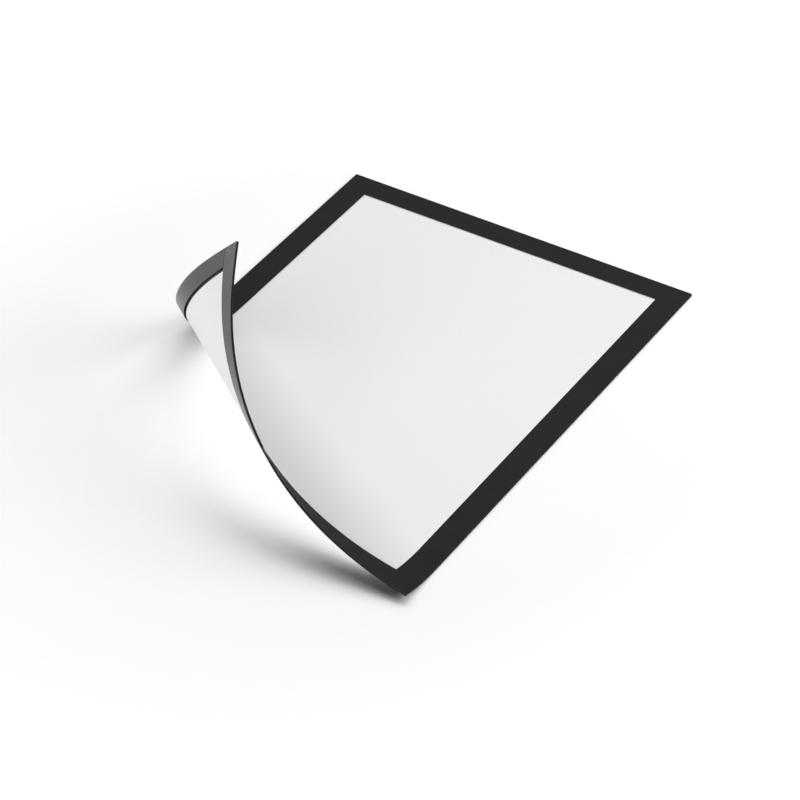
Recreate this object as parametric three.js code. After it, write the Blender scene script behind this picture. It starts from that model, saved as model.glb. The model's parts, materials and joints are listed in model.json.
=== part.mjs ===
// Flexible magnetic display frame for one A4 sheet, lying on its back with one corner peeled up.
// A clear film carries a black border foil on its face and four magnet strips on its back,
// and the sheet on show lies behind the film, between the strips.
// Millimetres, +Z up, +Y towards the top edge, +X to the right, back of the magnets at z = 0.
import * as THREE from 'three';

// The sheet on show and the frame round it.
const SHEET_WIDTH = 210;
const SHEET_LENGTH = 297;
const SHEET_THICK = 0.1;
const SHEET_SHIFT = 0.6;
const BORDER = 16;
const OVERLAP = 3;
const MAGNET_WIDTH = 12;
const BUTT_GAP = 0.2;

// The laminate, from the back: magnet strip, film, border foil, with a bond line under each.
const MAGNET_THICK = 0.9;
const FILM_THICK = 0.3;
const FOIL_THICK = 0.12;
const BOND = 0.04;

// The peeled corner rolls up as part of a cone. Its straight lines all meet at one apex, beyond
// the left edge, and the peel line is the one where the laminate leaves the surface below it.
const APEX_X = -438;
const APEX_Y = 217;
const PEEL_ON_LEFT_EDGE = 17.2;
const TURN = THREE.MathUtils.degToRad(123.3);
const FADE = 4;

// The roll is parted along its lines into fans, which turn on each other as the corner moves.
const FANS = 6;
const FACETS = 7;
const SEAM = 0.2;

const RIGHT = SHEET_WIDTH / 2 + BORDER - OVERLAP;
const TOP = SHEET_LENGTH / 2 + BORDER - OVERLAP;
const FILM_LOW = MAGNET_THICK + BOND;
const FILM_HIGH = FILM_LOW + FILM_THICK;
const FOIL_LOW = FILM_HIGH + BOND;
const FRONT = FOIL_LOW + FOIL_THICK;
const SHEET_HIGH = FILM_LOW - BOND;
const SHEET_LOW = SHEET_HIGH - SHEET_THICK;

const PEEL_HEADING = Math.atan2(PEEL_ON_LEFT_EDGE - APEX_Y, -RIGHT - APEX_X);
const NEAREST = Math.hypot(PEEL_ON_LEFT_EDGE - APEX_Y, -RIGHT - APEX_X);
const CORNER_FAN = fanAngle(-RIGHT, -TOP);
const FAN = fanAngle(BORDER - RIGHT, BORDER - TOP) / FANS;

// Angle of a flat point round the apex, from the peel line towards the loose corner.
function fanAngle(x, y) {
  return PEEL_HEADING - Math.atan2(y - APEX_Y, x - APEX_X);
}

function rectangle(left, bottom, right, top) {
  return [[left, bottom], [right, bottom], [right, top], [left, top]];
}

// Flat outlines. Every line from the apex crosses each of them in one stretch. The sheet lies loose,
// a little to the right of the middle, so the gap on its left is the wider one.
const FILM = rectangle(-RIGHT, -TOP, RIGHT, TOP);
const SHEET_LEFT = SHEET_SHIFT - SHEET_WIDTH / 2;
const SHEET_RIGHT = SHEET_SHIFT + SHEET_WIDTH / 2;
const SHEET = rectangle(SHEET_LEFT, -SHEET_LENGTH / 2, SHEET_RIGHT, SHEET_LENGTH / 2);
const BUTT = TOP - MAGNET_WIDTH - BUTT_GAP;
const MAGNET_LEFT = rectangle(-RIGHT, -BUTT, MAGNET_WIDTH - RIGHT, BUTT);
const MAGNET_RIGHT = rectangle(RIGHT - MAGNET_WIDTH, -BUTT, RIGHT, BUTT);
const MAGNET_BOTTOM = rectangle(-RIGHT, -TOP, RIGHT, MAGNET_WIDTH - TOP);
const BORDER_LEFT = rectangle(-RIGHT, -TOP, BORDER - RIGHT, TOP);
const BORDER_BOTTOM = [
  [-RIGHT, -TOP],
  [RIGHT, -TOP],
  [RIGHT, TOP],
  [RIGHT - BORDER, TOP],
  [RIGHT - BORDER, BORDER - TOP],
  [-RIGHT, BORDER - TOP],
];

// How sharply the laminate bends at a fan angle, in turn per angle: even at first, and easing
// off to nothing at the loose corner, where no load bends it.
function bendRate(fan) {
  const even = (TURN / CORNER_FAN) * (1 + 1 / FADE);
  return even * (1 - (fan / CORNER_FAN) ** FADE);
}

// The turn of the rolled surface between two of its lines. Its own X runs across the lines,
// Y along them, away from the apex, and Z out of the front face.
function roll(from, to) {
  const steps = Math.ceil((to - from) / 0.001);
  const part = (to - from) / steps;
  const turned = new THREE.Quaternion();
  const step = new THREE.Quaternion();
  for (let i = 0; i < steps; i += 1) {
    const axis = new THREE.Vector3(0, -bendRate(from + (i + 0.5) * part), -1);
    const angle = axis.length() * part;
    turned.multiply(step.setFromAxisAngle(axis.normalize(), angle));
  }
  return turned;
}

// Distances from the apex at which a line of the roll enters and leaves a flat outline.
function stretch(outline, fan) {
  const ray = new THREE.Vector2(Math.cos(PEEL_HEADING - fan), Math.sin(PEEL_HEADING - fan));
  const hits = [];
  outline.forEach(([x, y], i) => {
    const [nextX, nextY] = outline[(i + 1) % outline.length];
    const start = new THREE.Vector2(x - APEX_X, y - APEX_Y);
    const side = new THREE.Vector2(nextX - x, nextY - y);
    const along = start.cross(ray) / ray.cross(side);
    if (along > -1e-9 && along < 1 + 1e-9) {
      hits.push(start.cross(side) / ray.cross(side));
    }
  });
  return [Math.min(...hits), Math.max(...hits)];
}

// Half the gap between two fans at a height: narrow at the front face, which the fans turn on,
// and wider behind it, so that their ends clear each other when the corner lies flat.
function halfSeam(height) {
  return SEAM / 2 + (FRONT - height) * Math.tan((bendRate(0) * FAN) / 2);
}

// The part of a layer that lies between two lines of the roll, bent to its rest shape, in the
// frame of the first line. Rows follow the lines, and each has a near and a far end.
function bentStrip(outline, from, to, low, high) {
  const corners = outline.map(([x, y]) => fanAngle(x, y));
  const start = Math.max(from, Math.min(...corners));
  const end = Math.min(to, Math.max(...corners));
  const lines = [...corners];
  for (let i = 1; i < FACETS; i += 1) {
    lines.push(THREE.MathUtils.lerp(from, to, i / FACETS));
  }
  const inner = lines.filter((fan) => fan > start + 1e-6 && fan < end - 1e-6).sort((a, b) => a - b);
  const rows = inner.map((fan) => ({ fan, side: 0 }));
  rows.unshift({ fan: start, side: start === from ? 1 : 0 });
  rows.push({ fan: end, side: end === to ? -1 : 0 });

  const ends = (row, height) => [0, 1].map((which) => {
    const inset = row.side * halfSeam(height);
    const fan = row.fan + inset / stretch(outline, row.fan)[which];
    const reach = stretch(outline, fan)[which];
    return new THREE.Vector3(0, reach, height - FRONT).applyQuaternion(roll(from, fan));
  });
  const front = rows.map((row) => ends(row, high));
  const back = rows.map((row) => ends(row, low));

  const points = [];
  const triangle = (a, b, c) => {
    const sides = [a.distanceTo(b), b.distanceTo(c), c.distanceTo(a)];
    if (Math.min(...sides) > 1e-6) {
      points.push(a, b, c);
    }
  };
  const quad = (a, b, c, d) => {
    triangle(a, b, c);
    triangle(a, c, d);
  };
  const last = rows.length - 1;
  quad(front[0][0], front[0][1], back[0][1], back[0][0]);
  for (let i = 0; i < last; i += 1) {
    quad(front[i][0], front[i + 1][0], front[i + 1][1], front[i][1]);
    quad(back[i][0], back[i][1], back[i + 1][1], back[i + 1][0]);
    quad(front[i][0], back[i][0], back[i + 1][0], front[i + 1][0]);
    quad(front[i][1], front[i + 1][1], back[i + 1][1], back[i][1]);
  }
  quad(front[last][0], back[last][0], back[last][1], front[last][1]);
  const geometry = new THREE.BufferGeometry().setFromPoints(points);
  geometry.computeVertexNormals();
  return geometry;
}

// The part of a layer that stays flat, cut along the peel line.
function flatPlate(outline, low, high) {
  const slope = Math.tan(PEEL_HEADING);
  const inset = halfSeam(0) / Math.cos(PEEL_HEADING);
  const cutAt = (x) => PEEL_ON_LEFT_EDGE + (x + RIGHT) * slope + inset;
  const kept = outline.map(([x, y]) => new THREE.Vector2(x, Math.max(y, cutAt(x))));
  const depth = high - low;
  return new THREE.ExtrudeGeometry(new THREE.Shape(kept), { depth, bevelEnabled: false })
    .translate(0, 0, low);
}

// The four layers: clear matt film, black foil, magnet strip filled with ferrite, and paper.
const layers = {
  film: (cut) => ({
    geometry: cut(FILM_LOW, FILM_HIGH),
    material: new THREE.MeshStandardMaterial({
      color: 0xf1f4f5, roughness: 0.45, metalness: 0, transparent: true, opacity: 0.3,
    }),
  }),
  foil: (cut) => ({
    geometry: cut(FOIL_LOW, FRONT),
    material: new THREE.MeshStandardMaterial({ color: 0x2b2b2c, roughness: 0.55, metalness: 0 }),
  }),
  magnet: (cut) => ({
    geometry: cut(0, MAGNET_THICK),
    material: new THREE.MeshStandardMaterial({ color: 0x4d4e51, roughness: 0.4, metalness: 0 }),
  }),
  paper: (cut) => ({
    geometry: cut(SHEET_LOW, SHEET_HIGH),
    material: new THREE.MeshStandardMaterial({ color: 0xf4f4f2, roughness: 0.9, metalness: 0 }),
  }),
};

function place(group, name, layer, cut) {
  const { geometry, material } = layers[layer](cut);
  const mesh = new THREE.Mesh(geometry, material);
  mesh.name = name;
  group.add(mesh);
}

const frame = new THREE.Group();

// The flat part of the frame, on the surface.
const BORDER_REST = [
  [-RIGHT, -TOP],
  [BORDER - RIGHT, -TOP],
  [BORDER - RIGHT, TOP - BORDER],
  [RIGHT - BORDER, TOP - BORDER],
  [RIGHT - BORDER, -TOP],
  [RIGHT, -TOP],
  [RIGHT, TOP],
  [-RIGHT, TOP],
];
const MAGNET_TOP = rectangle(-RIGHT, TOP - MAGNET_WIDTH, RIGHT, TOP);
const flat = (outline) => (low, high) => flatPlate(outline, low, high);
place(frame, 'window_film', 'film', flat(FILM));
place(frame, 'border', 'foil', flat(BORDER_REST));
place(frame, 'magnet_top', 'magnet', flat(MAGNET_TOP));
place(frame, 'magnet_left', 'magnet', flat(MAGNET_LEFT));
place(frame, 'magnet_right', 'magnet', flat(MAGNET_RIGHT));
place(frame, 'insert_sheet', 'paper', flat(SHEET));

// The peeled corner: fans of equal angle out to the inner corner of the border, then the solid
// corner itself. Each fan's group hangs on the one before and turns about its own first line.
let hinge = new THREE.Group();
hinge.position.set(APEX_X, APEX_Y, FRONT);
hinge.rotation.z = PEEL_HEADING - Math.PI / 2;
frame.add(hinge);
for (let i = 0; i <= FANS; i += 1) {
  const from = i * FAN;
  const to = i < FANS ? from + FAN : CORNER_FAN;
  const bent = (outline) => (low, high) => bentStrip(outline, from, to, low, high);
  const tag = `curl_${i + 1}`;
  place(hinge, `window_film_${tag}`, 'film', bent(FILM));
  place(hinge, `magnet_left_${tag}`, 'magnet', bent(MAGNET_LEFT));
  place(hinge, `magnet_bottom_${tag}`, 'magnet', bent(MAGNET_BOTTOM));
  place(hinge, `insert_sheet_${tag}`, 'paper', bent(SHEET));
  if (i === 0) {
    place(hinge, `magnet_right_${tag}`, 'magnet', bent(MAGNET_RIGHT));
  }
  if (i < FANS) {
    place(hinge, `border_left_${tag}`, 'foil', bent(BORDER_LEFT));
    place(hinge, `border_bottom_${tag}`, 'foil', bent(BORDER_BOTTOM));
    const next = new THREE.Group();
    next.quaternion.copy(roll(from, to));
    hinge.add(next);
    hinge = next;
  } else {
    place(hinge, `border_corner_${tag}`, 'foil', bent(FILM));
  }
}

export default frame;
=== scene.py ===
import functools
import json
import math

import bmesh
import bpy
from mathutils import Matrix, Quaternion, Vector


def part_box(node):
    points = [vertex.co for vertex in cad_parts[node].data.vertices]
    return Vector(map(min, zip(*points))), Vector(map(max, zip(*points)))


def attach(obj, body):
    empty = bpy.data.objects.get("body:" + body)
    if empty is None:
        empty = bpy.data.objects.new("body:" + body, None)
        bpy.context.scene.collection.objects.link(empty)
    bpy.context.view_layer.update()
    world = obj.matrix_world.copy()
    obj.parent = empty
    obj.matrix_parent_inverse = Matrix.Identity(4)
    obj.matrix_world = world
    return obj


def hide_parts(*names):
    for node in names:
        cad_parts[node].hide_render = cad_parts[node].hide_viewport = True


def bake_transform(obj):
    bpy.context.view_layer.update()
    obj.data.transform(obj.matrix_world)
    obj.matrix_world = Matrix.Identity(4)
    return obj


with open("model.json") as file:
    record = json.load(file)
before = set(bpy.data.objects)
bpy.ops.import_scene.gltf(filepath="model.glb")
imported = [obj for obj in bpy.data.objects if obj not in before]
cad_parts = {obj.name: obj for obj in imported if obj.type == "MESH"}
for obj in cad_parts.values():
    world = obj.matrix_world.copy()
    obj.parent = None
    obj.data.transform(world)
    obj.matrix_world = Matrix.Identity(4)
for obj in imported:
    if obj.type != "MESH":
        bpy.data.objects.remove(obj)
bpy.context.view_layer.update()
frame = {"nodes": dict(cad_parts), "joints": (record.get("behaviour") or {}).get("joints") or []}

# Window film.
# One sheet of clear polyester film with a matt, anti-glare face, die-cut to the frame's outline.
# It carries the border and the magnets, and one corner of it is peeled up in a conical curl.
HALF_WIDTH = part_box("magnet_top")[1].x
HALF_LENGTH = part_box("magnet_top")[1].y
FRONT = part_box("border")[1].z
BORDER = 0.016
FILM_TINT = (0.9, 0.91, 0.92, 1)
FILM_HAZE = 0.03

# The curl's straight lines all meet at an apex beyond the left edge. Six fans of equal angle lie
# between the peel line and the border's inner corner, and a seventh takes in the corner itself.
# The first line of each fan is a hinge. The sheet bends evenly, and less towards the loose corner.
APEX = Vector((-0.438, 0.217, FRONT))
PEEL_ON_LEFT_EDGE = 0.0172
PEEL_HEADING = math.atan2(PEEL_ON_LEFT_EDGE - APEX.y, -HALF_WIDTH - APEX.x)
TURN = math.radians(123.3)
FADE = 4
FANS = 6
HINGES = FANS + 1


def fan_angle(point):
    """Angle of a flat point round the apex, from the peel line towards the loose corner."""
    return PEEL_HEADING - math.atan2(point.y - APEX.y, point.x - APEX.x)


CORNER_FAN = fan_angle(Vector((-HALF_WIDTH, -HALF_LENGTH, 0)))
FAN = fan_angle(Vector((BORDER - HALF_WIDTH, BORDER - HALF_LENGTH, 0))) / FANS

# Turns are added up in small steps of angle, and points on one line share the line's turn.
ROLL_STEP = 0.002
TURN_STEPS = 100
FAN_DIGITS = 6


def bend_rate(fan):
    """Turn per fan angle: even at first, and easing off to nothing at the loose corner."""
    return TURN / CORNER_FAN * (1 + 1 / FADE) * (1 - (fan / CORNER_FAN) ** FADE)


@functools.cache
def roll(fan):
    """Turn of the rolled surface at a line: X across the line, Y along it, Z out of the front."""
    steps = max(1, math.ceil(fan / ROLL_STEP))
    step = fan / steps
    turned = Quaternion((0, 0, 1), PEEL_HEADING - math.pi / 2)
    for i in range(steps):
        spin = Vector((0, -bend_rate((i + 0.5) * step), -1))
        turned = turned @ Quaternion(spin.normalized(), spin.length * step)
    return turned.normalized()


def rolled(point):
    """Where a point of the flat laminate lies when the corner is peeled up."""
    fan = fan_angle(point)
    if fan <= 0:
        return point.copy()
    reach = math.hypot(point.x - APEX.x, point.y - APEX.y)
    return APEX + roll(round(fan, FAN_DIGITS)) @ Vector((0, reach, point.z - FRONT))


def fan_turn(hinge):
    """Turn between the hinge's own line and the next one. Before the first line there is none."""
    if hinge == 0:
        return 0
    first = FAN * (hinge - 1)
    last = FAN * hinge if hinge < HINGES else CORNER_FAN
    step = (last - first) / TURN_STEPS
    return sum(bend_rate(first + (i + 0.5) * step) * step for i in range(TURN_STEPS))


def smooth_step_place(share):
    """How far along a smooth step, from 0 to 1, it has risen to a share of its height."""
    return 0.5 - math.sin(math.asin(1 - 2 * share) / 3)


FIRST_BEND_REACH = 0.35


def bend_span(hinge):
    """Start and end of the stretch that bends at a hinge.
    The ends are placed from the shares of the turns before and after the hinge that would keep the
    curl round at rest and lay the sheet flat when the corner is down, so the strip is the
    near-straight middle of the stretch.
    The first bend starts closer to its hinge, because the frame before it stays flat."""
    before, after = fan_turn(hinge - 1), fan_turn(hinge)
    whole = (before + after) / 2
    centre = Vector(frame["joints"][hinge - 1]["pos_m"])
    reach = (centre - APEX).length
    low, high = -reach * FAN / 2, reach * FAN / 2
    low_share, high_share = before / 4 / whole, (before / 2 + after / 4) / whole
    if hinge == 1:
        low *= FIRST_BEND_REACH
    if hinge == HINGES:
        high = reach * (CORNER_FAN - FAN * FANS)
        high_share = 1
    low_step, high_step = smooth_step_place(low_share), smooth_step_place(high_share)
    length = (high - low) / (high_step - low_step)
    across = roll(round(FAN * (hinge - 1), FAN_DIGITS)) @ Vector((1, 0, 0))
    start = centre + across * (low - low_step * length)
    return start, start + across * length


def flat_plate(low_corner, high_corner):
    """A flat piece of one layer, from its lowest and highest corner."""
    low, high = Vector(low_corner), Vector(high_corner)
    plate = bmesh.new()
    bmesh.ops.create_cube(plate, size=1)
    bmesh.ops.scale(plate, vec=high - low, verts=plate.verts)
    bmesh.ops.translate(plate, vec=(low + high) / 2, verts=plate.verts)
    return plate


SLICES = 24
SLICES_BEFORE_PEEL = 2
SLICE_SNAP = 1e-7


def score(plate):
    """Cuts a flat piece along the curl's lines into slices too fine to show, but leaves it whole."""
    slice_angle = FAN / SLICES
    for i in range(-SLICES_BEFORE_PEEL, math.ceil(CORNER_FAN / slice_angle)):
        heading = PEEL_HEADING - i * slice_angle
        across = (-math.sin(heading), math.cos(heading), 0)
        everything = plate.verts[:] + plate.edges[:] + plate.faces[:]
        bmesh.ops.bisect_plane(plate, geom=everything, dist=SLICE_SNAP, plane_co=APEX, plane_no=across)


def keep_flat_place(plate):
    """Stores where each point lies on the flat piece, for patterns that follow the surface."""
    flat = plate.verts.layers.float_vector.new("flat")
    for vert in plate.verts:
        vert[flat] = vert.co


def nearest_hinge(face):
    """Number of the hinge whose line is nearest to a face of a flat piece."""
    line = math.floor(fan_angle(face.calc_center_median()) / FAN + 0.5) + 1
    return min(max(line, 1), HINGES)


def rolled_strip(plate, hinge, end_finish):
    """The stretch of a flat piece that bends at a hinge, rolled up and closed at its two ends."""
    strip = plate.copy()
    away = [face for face in strip.faces if nearest_hinge(face) != hinge]
    bmesh.ops.delete(strip, geom=away, context="FACES")
    rims = [edge for edge in strip.edges if edge.is_boundary]
    for end in bmesh.ops.holes_fill(strip, edges=rims)["faces"]:
        end.material_index = end_finish
    for vert in strip.verts:
        vert.co = rolled(vert.co)
    bmesh.ops.recalc_face_normals(strip, faces=strip.faces)
    return strip


ROUND_UNDER = math.radians(12)


def finished_mesh(plate, name, finishes):
    """The piece's object. Edges of a few degrees are shaded round, and the rest stay crisp."""
    plate.normal_update()
    for face in plate.faces:
        face.smooth = True
    for edge in plate.edges:
        edge.smooth = edge.is_manifold and edge.calc_face_angle() < ROUND_UNDER
    mesh = bpy.data.meshes.new(name)
    plate.to_mesh(mesh)
    plate.free()
    for material in finishes:
        mesh.materials.append(material)
    piece = bpy.data.objects.new(name, mesh)
    bpy.context.scene.collection.objects.link(piece)
    return piece


def fan_number(node):
    """Number of the fan that a node lies in, or 0 for one in the flat frame."""
    return int(node.rsplit("_", 1)[1]) if "curl_" in node else 0


def part_and_roll(plate, name, finishes, node_start):
    """Parts a flat piece into a rolled strip for each hinge that it crosses.
    The strips stand for the nodes whose names start alike.
    The ends where two strips meet take the last of the finishes."""
    score(plate)
    keep_flat_place(plate)
    left = {node for node in frame["nodes"] if node.startswith(node_start)}
    strips = []
    for hinge in sorted({nearest_hinge(face) for face in plate.faces}):
        strip = rolled_strip(plate, hinge, len(finishes) - 1)
        piece = finished_mesh(strip, f"{name}_{hinge}", finishes)
        own = {node for node in left if fan_number(node) <= hinge}
        left -= own
        bend_span(hinge)
        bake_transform(piece)
        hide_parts(*sorted(own))
        strips.append(piece)
    plate.free()
    return strips


def set_sockets(node, **sockets):
    """Fills sockets by name, or by number as _0, each with a value or a link from another node."""
    for key, value in sockets.items():
        number = key[1:]
        socket = node.inputs[int(number)] if number.isdigit() else node.inputs[key.replace("_", " ")]
        if isinstance(value, bpy.types.NodeSocket):
            node.id_data.links.new(value, socket)
        else:
            socket.default_value = value
    return node


def add_node(tree, kind, settings=None, **sockets):
    """A new node with its settings and sockets filled in."""
    node = tree.nodes.new("ShaderNode" + kind)
    for key, value in (settings or {}).items():
        setattr(node, key, value)
    return set_sockets(node, **sockets)


def new_finish(name):
    """A new finish: its material, its node tree and its surface node."""
    material = bpy.data.materials.new(name)
    material.use_nodes = True
    return material, material.node_tree, material.node_tree.nodes["Principled BSDF"]


def dullness(tree, pattern, least, most):
    """Roughness that a pattern carries from its least to its most."""
    spread = add_node(tree, "MapRange", Value=pattern.outputs["Fac"], To_Min=least, To_Max=most)
    return spread.outputs["Result"]


def relief(tree, pattern, strength, depth):
    """The normal of a surface with a fine pattern in it, of a depth in metres."""
    bump = add_node(tree, "Bump", Strength=strength, Distance=depth, Height=pattern.outputs["Fac"])
    return bump.outputs["Normal"]


def matt_clear_film():
    """Clear film with a finely etched face, which takes off the shine."""
    material, tree, surface = new_finish("matt_clear_film")
    place = add_node(tree, "TexCoord").outputs["Object"]
    etch = add_node(tree, "TexNoise", Vector=place, Scale=3500.0, Detail=3.0, Roughness=0.6)
    set_sockets(surface, Base_Color=FILM_TINT, Alpha=FILM_HAZE, IOR=1.5,
                Roughness=dullness(tree, etch, least=0.36, most=0.5),
                Normal=relief(tree, etch, strength=0.25, depth=0.00002))
    return material


def film_running_on():
    """Where the film runs on from one strip into the next there is no surface to see."""
    material, _, surface = new_finish("film_running_on")
    set_sockets(surface, Base_Color=FILM_TINT, Alpha=0.0)
    return material


film_low, film_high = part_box("window_film")
film = part_and_roll(
    flat_plate((-HALF_WIDTH, -HALF_LENGTH, film_low.z), (HALF_WIDTH, HALF_LENGTH, film_high.z)),
    "film", (matt_clear_film(), film_running_on()), "window_film")

# The film is so clear that it casts no shadow and lets stray light pass.
for strip in film:
    strip.visible_shadow = False
    strip.visible_diffuse = False

# Border.
# A frame of thin matt black foil, die-cut in one piece with square corners.
# It is bonded to the face of the film, flush with its outline.
FOIL_DARK = (0.0165, 0.0165, 0.017, 1)
FOIL_PALE = (0.0215, 0.0215, 0.022, 1)


def flat_place(tree):
    """Where a point lies on the flat piece, so that a pattern bends with the piece."""
    return add_node(tree, "Attribute", {"attribute_name": "flat"}).outputs["Vector"]


def tone_between(tree, pattern, dark, pale):
    """A colour that a pattern carries from its dark tone to its pale one."""
    mix = add_node(tree, "Mix", {"data_type": "RGBA"}, _0=pattern.outputs["Fac"], _6=dark, _7=pale)
    return mix.outputs[2]


def matt_black_foil():
    """Black vinyl with a fine dull grain and a faint unevenness of tone."""
    material, tree, surface = new_finish("matt_black_foil")
    flat = flat_place(tree)
    grain = add_node(tree, "TexNoise", Vector=flat, Scale=2600.0, Detail=4.0, Roughness=0.65)
    cloud = add_node(tree, "TexNoise", Vector=flat, Scale=60.0, Detail=3.0)
    set_sockets(surface, Base_Color=tone_between(tree, cloud, FOIL_DARK, FOIL_PALE),
                Roughness=dullness(tree, grain, least=0.5, most=0.68), Specular_IOR_Level=0.03,
                Normal=relief(tree, grain, strength=0.3, depth=0.00003))
    return material


foil_low, foil_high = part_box("border")
foil = bmesh.new()
bmesh.ops.create_grid(foil, x_segments=1, y_segments=1, size=1)
bmesh.ops.scale(foil, vec=(HALF_WIDTH, HALF_LENGTH, 1), verts=foil.verts)
bmesh.ops.translate(foil, vec=(0, 0, foil_low.z), verts=foil.verts)
window = foil.faces[:]
bmesh.ops.inset_region(foil, faces=window, thickness=BORDER, use_even_offset=True, use_boundary=True)
bmesh.ops.delete(foil, geom=window, context="FACES")
raised = bmesh.ops.extrude_face_region(foil, geom=foil.faces[:])["geom"]
raised_verts = [v for v in raised if isinstance(v, bmesh.types.BMVert)]
bmesh.ops.translate(foil, vec=(0, 0, foil_high.z - foil_low.z), verts=raised_verts)
bmesh.ops.recalc_face_normals(foil, faces=foil.faces)
part_and_roll(foil, "border_foil", (matt_black_foil(),), "border")

# Magnet strips.
# Four strips of ferrite-filled rubber, calendered smooth and slit to width, bonded to the film's
# back. The top and bottom strips run to the corners, and the side strips butt between them. The
# side strips are painted a darker grey than the top and bottom ones, as a painted difference of sheen.
EDGE_ROUND = 0.00012
LINES_ALONG = 60
LINES_ACROSS = 2500
# All four strips are one rubber: the side strips' darker tones are painted shade and the top and
# bottom strips' lighter tones are painted sheen.
SIDE_SHADED_TONES = (0.03, 0.042)
END_SHEEN_TONES = (0.056, 0.074)
EDGE_TONES = (0.006, 0.014)


def grey(level):
    """A neutral colour."""
    return (level, level, level, 1)


def coated_face(name, stretch, tones):
    """The strip's grey coated face, with the drawn lines of the rolls along it and a dull sheen."""
    material, tree, surface = new_finish(name)
    flat = flat_place(tree)
    drawn = add_node(tree, "Mapping", Vector=flat, Scale=stretch).outputs["Vector"]
    lines = add_node(tree, "TexNoise", Vector=drawn, Scale=1.0, Detail=4.0, Roughness=0.6)
    speck = add_node(tree, "TexNoise", Vector=flat, Scale=4500.0, Detail=2.0)
    dark, pale = tones
    set_sockets(surface, Base_Color=tone_between(tree, lines, grey(dark), grey(pale)),
                Roughness=dullness(tree, speck, least=0.22, most=0.32), Specular_IOR_Level=0.2,
                Normal=relief(tree, lines, strength=0.2, depth=0.00002))
    return material


def slit_edge():
    """The bare black ferrite rubber of the strip's slit edges, dull and a little rough."""
    material, tree, surface = new_finish("slit_edge")
    place = add_node(tree, "TexCoord").outputs["Object"]
    tear = add_node(tree, "TexNoise", Vector=place, Scale=5000.0, Detail=3.0)
    dark, pale = EDGE_TONES
    set_sockets(surface, Base_Color=tone_between(tree, tear, grey(dark), grey(pale)),
                Roughness=0.8, Specular_IOR_Level=0.08,
                Normal=relief(tree, tear, strength=0.4, depth=0.00004))
    return material


def magnet_strip(low_corner, high_corner):
    """A straight strip with its slit edges a little rounded and left uncoated."""
    strip = flat_plate(low_corner, high_corner)
    bmesh.ops.bevel(strip, geom=strip.edges[:], offset=EDGE_ROUND, offset_type="OFFSET",
                    affect="EDGES", segments=2, profile=0.5, material=-1)
    strip.normal_update()
    for face in strip.faces:
        lies_flat = abs(face.normal.z) > 0.5
        face.material_index = 0 if lies_flat else 1
    return strip


slit = slit_edge()
drawn_along_x = (LINES_ALONG, LINES_ACROSS, LINES_ACROSS)
drawn_along_y = (LINES_ACROSS, LINES_ALONG, LINES_ACROSS)
across_rubber = (coated_face("coated_face_across", drawn_along_x, END_SHEEN_TONES), slit)
along_rubber = (coated_face("coated_face_along", drawn_along_y, SIDE_SHADED_TONES), slit)
top_low, top_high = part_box("magnet_top")
left_low, left_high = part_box("magnet_left")
right_low, right_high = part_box("magnet_right")

top_strip = magnet_strip(top_low, top_high)
keep_flat_place(top_strip)
magnet_top = finished_mesh(top_strip, "magnet_strip_top", across_rubber)
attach(magnet_top, "frame")
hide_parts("magnet_top")

for side, low, high, rubber in (
        ("left", (left_low.x, -left_high.y, 0), left_high, along_rubber),
        ("right", (right_low.x, -right_high.y, 0), right_high, along_rubber),
        ("bottom", (top_low.x, -top_high.y, 0), (top_high.x, -top_low.y, top_high.z), across_rubber)):
    part_and_roll(magnet_strip(low, high), f"magnet_strip_{side}", rubber, f"magnet_{side}")

# Insert sheet.
# A plain white A4 sheet of thin, uncoated paper behind the window. It lies loose between the magnet
# strips and bends with the film.
PAPER_DARK = (0.815, 0.815, 0.815, 1)
PAPER_PALE = (0.845, 0.845, 0.843, 1)
LIGHT_THROUGH = 0.9


def plain_paper():
    """White paper with a faint cloud of fibres, which lets most of the lamps' light through."""
    material, tree, surface = new_finish("plain_paper")
    flat = flat_place(tree)
    fibre = add_node(tree, "TexNoise", Vector=flat, Scale=900.0, Detail=5.0, Roughness=0.65,
                     Distortion=0.6)
    cloud = add_node(tree, "TexNoise", Vector=flat, Scale=140.0, Detail=3.0)
    set_sockets(surface, Base_Color=tone_between(tree, cloud, PAPER_DARK, PAPER_PALE),
                Roughness=0.85, Specular_IOR_Level=0.3,
                Normal=relief(tree, fibre, strength=0.08, depth=0.00003))
    lamp_ray = add_node(tree, "LightPath").outputs["Is Shadow Ray"]
    clear = add_node(tree, "BsdfTransparent", Color=grey(LIGHT_THROUGH))
    sheet = add_node(tree, "MixShader", _0=lamp_ray, _1=surface.outputs[0], _2=clear.outputs[0])
    set_sockets(tree.nodes["Material Output"], Surface=sheet.outputs[0])
    return material


sheet_low, sheet_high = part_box("insert_sheet")
part_and_roll(
    flat_plate((sheet_low.x, -sheet_high.y, sheet_low.z), sheet_high),
    "insert_paper", (plain_paper(),), "insert_sheet")

# Floor.
# A plain white studio floor, wide enough to fill the view. It isn't part of the object.
# Where it is seen it glows a little, as painted light in its shadow, and the glow is taken away
# close under the object, as painted contact shade. Far from the object it glows white by itself,
# so that it runs into the surround with no edge.
FLOOR_SIZE = 30.0
SHADOW_LIFT = 0.07
LIFT_FROM = 0.2
LIFT_TO = 1.2
CONTACT_REACH = 0.03


def seen_rays(tree):
    """1 for a ray that brings a surface to the eye, directly or by gloss or glass, and else 0."""
    ray = add_node(tree, "LightPath").outputs
    mirrored = add_node(tree, "Math", {"operation": "MAXIMUM"},
                        _0=ray["Is Glossy Ray"], _1=ray["Is Transmission Ray"])
    seen = add_node(tree, "Math", {"operation": "MAXIMUM"},
                    _0=ray["Is Camera Ray"], _1=mirrored.outputs[0])
    return seen.outputs[0]


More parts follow.
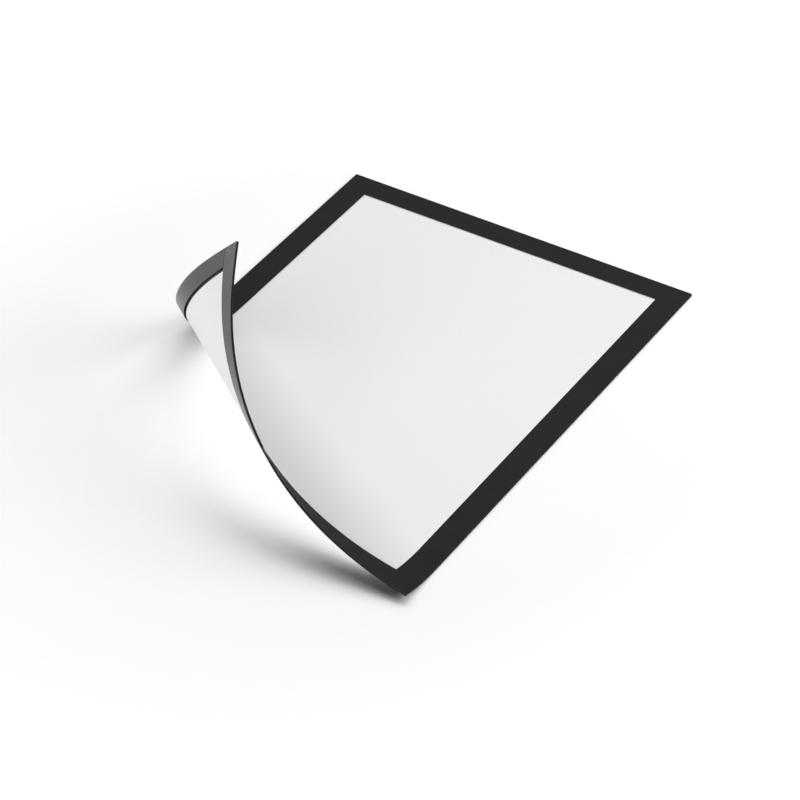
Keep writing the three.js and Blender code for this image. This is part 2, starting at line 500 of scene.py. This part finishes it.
def studio_white():
    """White floor that shows white where it is lit and keeps the object's shadow."""
    material, tree, surface = new_finish("studio_white")
    place = add_node(tree, "TexCoord").outputs["Object"]
    apart = add_node(tree, "VectorMath", {"operation": "LENGTH"}, _0=place)
    rise = add_node(tree, "MapRange", Value=apart.outputs["Value"],
                    From_Min=LIFT_FROM, From_Max=LIFT_TO, To_Min=SHADOW_LIFT, To_Max=1.0)
    # Painted contact shade: the glow fades where the object is close above the floor.
    painted_contact_shade = add_node(tree, "AmbientOcclusion", {"samples": 16}, Distance=CONTACT_REACH)
    clear = add_node(tree, "Math", {"operation": "MULTIPLY"},
                     _0=rise.outputs["Result"], _1=painted_contact_shade.outputs["AO"])
    lift = add_node(tree, "Math", {"operation": "MULTIPLY"}, _0=seen_rays(tree), _1=clear.outputs[0])
    set_sockets(surface, Base_Color=(0.97, 0.97, 0.97, 1), Roughness=0.9, Specular_IOR_Level=0.0,
                Emission_Color=(1, 1, 1, 1), Emission_Strength=lift.outputs[0])
    return material


ground = bmesh.new()
bmesh.ops.create_grid(ground, x_segments=1, y_segments=1, size=FLOOR_SIZE / 2)
floor = finished_mesh(ground, "floor", (studio_white(),))

# Light and camera.
# Three soft boxes light the object: a near one above and behind it, and two large ones in front and
# to the left. Three more light the floor alone and give it the object's soft shadow.
# The camera looks down on the curl from the front right.
SURROUND_LIGHT = 0.01
FILL_SIZE = 3.4
FLOOR_BOX_SIZE = 2.4
OBJECT_BOXES = (
    ("key_box", (0.41, 0.77, 1.46), 0.9, 17.2),
    ("front_box", (0.53, -3.74, 2.45), FILL_SIZE, 187),
    ("left_box", (-4.08, 0.0, 1.9), FILL_SIZE, 45),
)
FLOOR_BOXES = (
    ("floor_right_box", (2.74, 0.48, 1.95), FLOOR_BOX_SIZE, 66),
    ("floor_back_box", (0.34, 1.92, 2.79), FLOOR_BOX_SIZE, 60),
    ("floor_left_box", (-1.49, 1.25, 2.79), FLOOR_BOX_SIZE, 42),
)
CAMERA_PLACE = (0.8780, -1.3891, 1.2813)
CAMERA_AIM = (0.0367, -0.0362, 0.0200)
CAMERA_LENS = 162.3
CAMERA_SENSOR = 36
CAMERA_REACH = 100

surround = bpy.data.worlds.new("surround")
surround.use_nodes = True
tree = surround.node_tree
level = add_node(tree, "MapRange", Value=seen_rays(tree), To_Min=SURROUND_LIGHT, To_Max=1.0)
set_sockets(tree.nodes["Background"], Color=(1, 1, 1, 1), Strength=level.outputs["Result"])
bpy.context.scene.world = surround


def turned_to(place, aim):
    """Rotation of a lamp or a camera that looks from its place to its aim."""
    return (Vector(aim) - Vector(place)).to_track_quat("-Z", "Y").to_euler()


def soft_box(name, place, size, power, floor_link):
    """A square lamp turned to the object, which lights the floor alone or all but the floor."""
    lamp = bpy.data.lights.new(name, "AREA")
    lamp.shape = "SQUARE"
    lamp.size = size
    lamp.energy = power
    box = bpy.data.objects.new(name, lamp)
    box.location = place
    box.rotation_euler = turned_to(place, (0, 0, 0))
    box.visible_camera = False
    bpy.context.scene.collection.objects.link(box)
    lit = bpy.data.collections.new(f"lit_by_{name}")
    lit.objects.link(floor)
    lit.collection_objects[0].light_linking.link_state = floor_link
    box.light_linking.receiver_collection = lit


for name, place, size, power in OBJECT_BOXES:
    soft_box(name, place, size, power, floor_link="EXCLUDE")
for name, place, size, power in FLOOR_BOXES:
    soft_box(name, place, size, power, floor_link="INCLUDE")

lens = bpy.data.cameras.new("camera")
lens.lens = CAMERA_LENS
lens.sensor_width = CAMERA_SENSOR
lens.clip_end = CAMERA_REACH
camera = bpy.data.objects.new("camera", lens)
camera.location = CAMERA_PLACE
camera.rotation_euler = turned_to(CAMERA_PLACE, CAMERA_AIM)
bpy.context.scene.collection.objects.link(camera)
bpy.context.scene.camera = camera
bpy.context.scene.view_settings.view_transform = "Standard"
